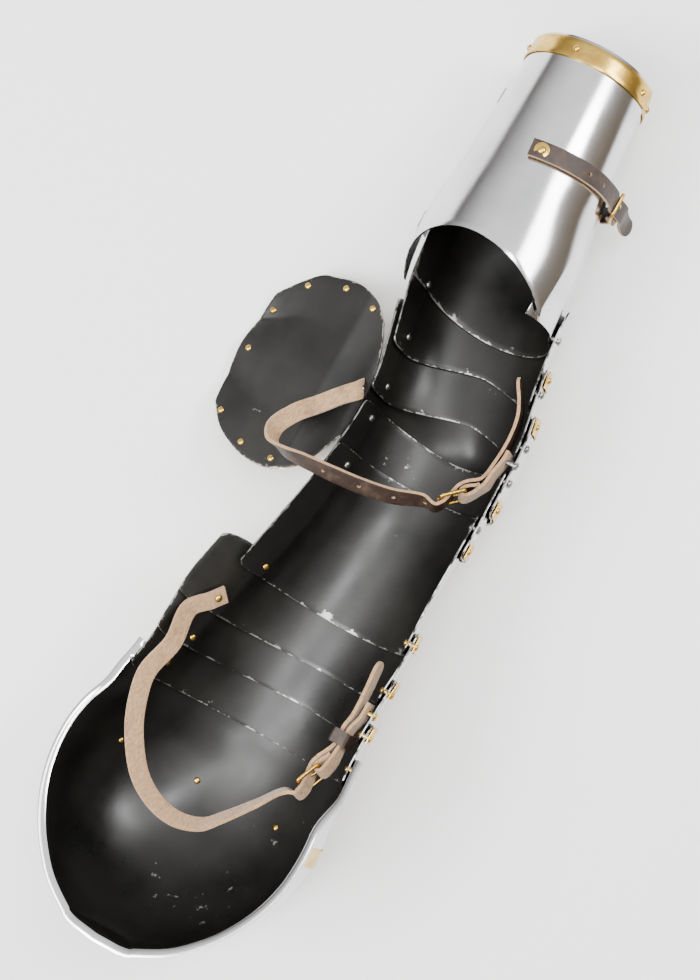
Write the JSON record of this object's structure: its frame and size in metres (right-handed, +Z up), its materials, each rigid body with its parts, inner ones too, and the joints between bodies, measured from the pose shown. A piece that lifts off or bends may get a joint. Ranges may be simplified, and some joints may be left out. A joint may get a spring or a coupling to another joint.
{
  "type": "arm harness",
  "caption": "Articulated plate armour for one arm, lying on its back: forearm cannon, elbow lames, winged couter, upper cannon, shoulder lames and cop, with straps and buckles.",
  "frame": {"origin": "middle of the box's underside, on the surface that the harness lies on", "axes": "+X along the arm towards the wrist, +Y towards the side of the elbow wing, +Z up, out of the open hollow"},
  "size_m": [0.6428, 0.2086, 0.1304],
  "materials": {
    "cannon_hinge_elbow_steel": "polished",
    "cannon_hinge_wrist_steel": "polished",
    "cop_crossing_strip_brass": "polished",
    "cop_edge_strip_brass": "polished",
    "couter_black": "satin",
    "couter_arm_strip_brass": "polished",
    "couter_wrist_strip_brass": "polished",
    "cuff_back_strip_brass": "polished",
    "cuff_front_strip_brass": "polished",
    "elbow_buckle_brass": "polished",
    "elbow_buckle_tab_leather": "matte",
    "elbow_lame_a_black": "satin",
    "elbow_lame_b_black": "satin",
    "elbow_lame_b_strip_brass": "polished",
    "elbow_lame_c_black": "satin",
    "elbow_lame_c_strip_brass": "polished",
    "elbow_strap_leather": "matte",
    "elbow_strap_rivet_steel": "polished",
    "elbow_tab_rivet_steel": "polished",
    "forearm_buckle_brass": "polished",
    "forearm_buckle_tab_leather": "matte",
    "forearm_strap_leather": "matte",
    "forearm_strap_rivet_brass": "polished",
    "forearm_tab_rivet_steel": "polished",
    "lower_cannon_back_steel": "polished",
    "lower_cannon_front_steel": "polished",
    "pivot_1_left_steel": "polished",
    "pivot_1_right_steel": "polished",
    "pivot_2_left_steel": "polished",
    "pivot_2_right_steel": "polished",
    "pivot_3_left_steel": "polished",
    "pivot_3_right_steel": "polished",
    "pivot_4_left_steel": "polished",
    "pivot_4_right_steel": "polished",
    "pivot_5_left_steel": "polished",
    "pivot_5_right_steel": "polished",
    "pivot_6_left_brass": "polished",
    "pivot_6_right_brass": "polished",
    "pivot_7_left_brass": "polished",
    "pivot_7_right_brass": "polished",
    "pivot_8_left_brass": "polished",
    "pivot_8_right_brass": "polished",
    "pivot_9_left_brass": "polished",
    "pivot_9_right_brass": "polished",
    "shoulder_buckle_brass": "polished",
    "shoulder_buckle_tab_leather": "matte",
    "shoulder_cop_black": "satin",
    "shoulder_keeper_leather": "matte",
    "shoulder_lame_1_black": "satin",
    "shoulder_lame_1_strip_brass": "polished",
    "shoulder_lame_2_black": "satin",
    "shoulder_lame_2_strip_brass": "polished",
    "shoulder_lame_3_black": "satin",
    "shoulder_lame_3_strip_brass": "polished",
    "shoulder_strap_leather": "matte",
    "shoulder_tab_rivet_brass": "polished",
    "upper_cannon_black": "satin",
    "wing_strip_brass": "polished"
  },
  "bodies": {
    "lower_cannon_body": {"cannon_hinge_elbow": "cannon_hinge_elbow_steel", "cannon_hinge_wrist": "cannon_hinge_wrist_steel", "cuff_back_strip": "cuff_back_strip_brass", "cuff_front_strip": "cuff_front_strip_brass", "forearm_buckle": "forearm_buckle_brass", "forearm_buckle_tab": "forearm_buckle_tab_leather", "forearm_strap": "forearm_strap_leather", "forearm_strap_rivet": "forearm_strap_rivet_brass", "forearm_tab_rivet": "forearm_tab_rivet_steel", "lower_cannon_back": "lower_cannon_back_steel", "lower_cannon_front": "lower_cannon_front_steel", "pivot_1_left": "pivot_1_left_steel", "pivot_1_right": "pivot_1_right_steel"},
    "shoulder_cop_body": {"cop_crossing_strip": "cop_crossing_strip_brass", "cop_edge_strip": "cop_edge_strip_brass", "pivot_9_left": "pivot_9_left_brass", "pivot_9_right": "pivot_9_right_brass", "shoulder_cop": "shoulder_cop_black"},
    "couter_body": {"couter": "couter_black", "couter_arm_strip": "couter_arm_strip_brass", "couter_wrist_strip": "couter_wrist_strip_brass", "elbow_buckle": "elbow_buckle_brass", "elbow_buckle_tab": "elbow_buckle_tab_leather", "elbow_strap": "elbow_strap_leather", "elbow_strap_rivet": "elbow_strap_rivet_steel", "elbow_tab_rivet": "elbow_tab_rivet_steel", "wing_strip": "wing_strip_brass"},
    "elbow_lame_a_body": {"elbow_lame_a": "elbow_lame_a_black", "pivot_2_left": "pivot_2_left_steel", "pivot_2_right": "pivot_2_right_steel"},
    "elbow_lame_b_body": {"elbow_lame_b": "elbow_lame_b_black", "elbow_lame_b_strip": "elbow_lame_b_strip_brass", "pivot_3_left": "pivot_3_left_steel", "pivot_3_right": "pivot_3_right_steel"},
    "elbow_lame_c_body": {"elbow_lame_c": "elbow_lame_c_black", "elbow_lame_c_strip": "elbow_lame_c_strip_brass", "pivot_4_left": "pivot_4_left_steel", "pivot_4_right": "pivot_4_right_steel"},
    "upper_cannon_body": {"pivot_5_left": "pivot_5_left_steel", "pivot_5_right": "pivot_5_right_steel", "upper_cannon": "upper_cannon_black"},
    "shoulder_lame_1_body": {"pivot_6_left": "pivot_6_left_brass", "pivot_6_right": "pivot_6_right_brass", "shoulder_lame_1": "shoulder_lame_1_black", "shoulder_lame_1_strip": "shoulder_lame_1_strip_brass"},
    "shoulder_lame_2_body": {"pivot_7_left": "pivot_7_left_brass", "pivot_7_right": "pivot_7_right_brass", "shoulder_buckle": "shoulder_buckle_brass", "shoulder_buckle_tab": "shoulder_buckle_tab_leather", "shoulder_keeper": "shoulder_keeper_leather", "shoulder_lame_2": "shoulder_lame_2_black", "shoulder_lame_2_strip": "shoulder_lame_2_strip_brass", "shoulder_strap": "shoulder_strap_leather", "shoulder_tab_rivet": "shoulder_tab_rivet_brass"},
    "shoulder_lame_3_body": {"pivot_8_left": "pivot_8_left_brass", "pivot_8_right": "pivot_8_right_brass", "shoulder_lame_3": "shoulder_lame_3_black", "shoulder_lame_3_strip": "shoulder_lame_3_strip_brass"}
  },
  "joints": [
    {"name": "elbow_lame_b_turn", "type": "hinge", "parent": "couter_body", "child": "elbow_lame_b_body", "pos_m": [0.07287, -0.04253, 0.05739], "axis": [0.0573, -0.9204, 0.3867], "range_deg": [0, 12]},
    {"name": "elbow_lame_a_turn", "type": "hinge", "parent": "elbow_lame_b_body", "child": "elbow_lame_a_body", "pos_m": [0.10812, -0.03591, 0.05097], "axis": [0.0592, -0.9204, 0.3865], "range_deg": [0, 12]},
    {"name": "lower_cannon_turn", "type": "hinge", "parent": "elbow_lame_a_body", "child": "lower_cannon_body", "pos_m": [0.14509, -0.02966, 0.04453], "axis": [0.0455, -0.9205, 0.3881], "range_deg": [0, 8]},
    {"name": "elbow_lame_c_turn", "type": "hinge", "parent": "couter_body", "child": "elbow_lame_c_body", "pos_m": [0.0492, -0.04334, 0.0603], "axis": [-0.0438, 0.9205, -0.3883], "range_deg": [0, 6]},
    {"name": "upper_cannon_turn", "type": "hinge", "parent": "elbow_lame_c_body", "child": "upper_cannon_body", "pos_m": [0.01441, -0.04259, 0.06361], "axis": [-0.0377, 0.9205, -0.3889], "range_deg": [0, 6]},
    {"name": "shoulder_lame_1_turn", "type": "hinge", "parent": "upper_cannon_body", "child": "shoulder_lame_1_body", "pos_m": [-0.06896, -0.03536, 0.06914], "axis": [0.034, -0.9206, 0.3891], "range_deg": [0, 6]},
    {"name": "shoulder_lame_2_turn", "type": "hinge", "parent": "shoulder_lame_1_body", "child": "shoulder_lame_2_body", "pos_m": [-0.10157, -0.02668, 0.07479], "axis": [0.0208, -0.9531, 0.3019], "range_deg": [0, 5]},
    {"name": "shoulder_lame_3_turn", "type": "hinge", "parent": "shoulder_lame_2_body", "child": "shoulder_lame_3_body", "pos_m": [-0.1324, -0.02722, 0.07348], "axis": [0.0251, -0.9346, 0.3548], "range_deg": [0, 6]},
    {"name": "shoulder_cop_turn", "type": "hinge", "parent": "shoulder_lame_3_body", "child": "shoulder_cop_body", "pos_m": [-0.15453, -0.02541, 0.07474], "axis": [0.0206, -0.9361, 0.3511], "range_deg": [0, 6]}
  ]
}
